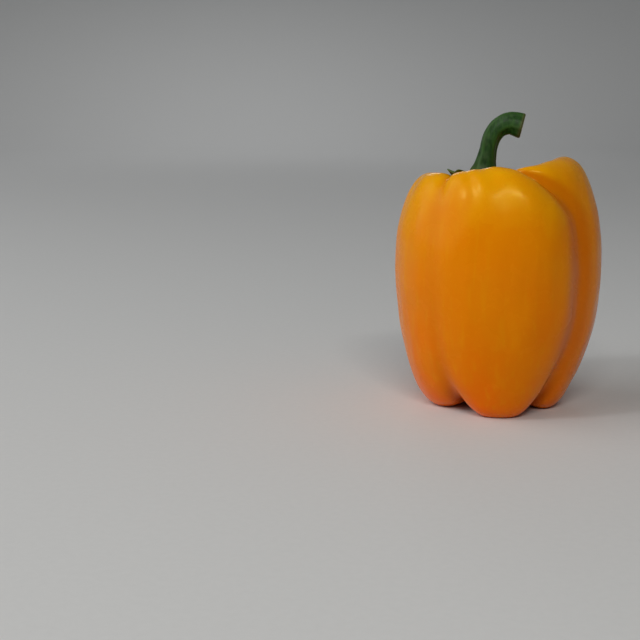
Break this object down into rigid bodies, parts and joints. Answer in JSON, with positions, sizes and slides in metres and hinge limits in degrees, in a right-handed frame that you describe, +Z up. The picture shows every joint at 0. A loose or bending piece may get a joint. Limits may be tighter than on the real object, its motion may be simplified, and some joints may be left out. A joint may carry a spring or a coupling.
{
  "type": "bell pepper",
  "caption": "Golden-yellow bell pepper with rounded lobes, a green calyx sunk in its top and a hooked green stem, standing on its lobes.",
  "frame": {"origin": "centre of the object's box at the level of the feet, on the surface that the pepper stands on", "axes": "+Z up from the feet to the stem, -Y towards the front that the picture shows, +X to the right seen from the front, the way the stem hooks"},
  "size_m": [0.0798, 0.0784, 0.1144],
  "materials": {
    "fruit_skin": "smooth waxy skin, glossy, golden yellow",
    "calyx_green": "dull green leaf",
    "stem_green": "satin green stalk with fine ribs"
  },
  "bodies": {
    "root": {"fruit": "fruit_skin", "calyx": "calyx_green", "stem": "stem_green"}
  },
  "joints": []
}
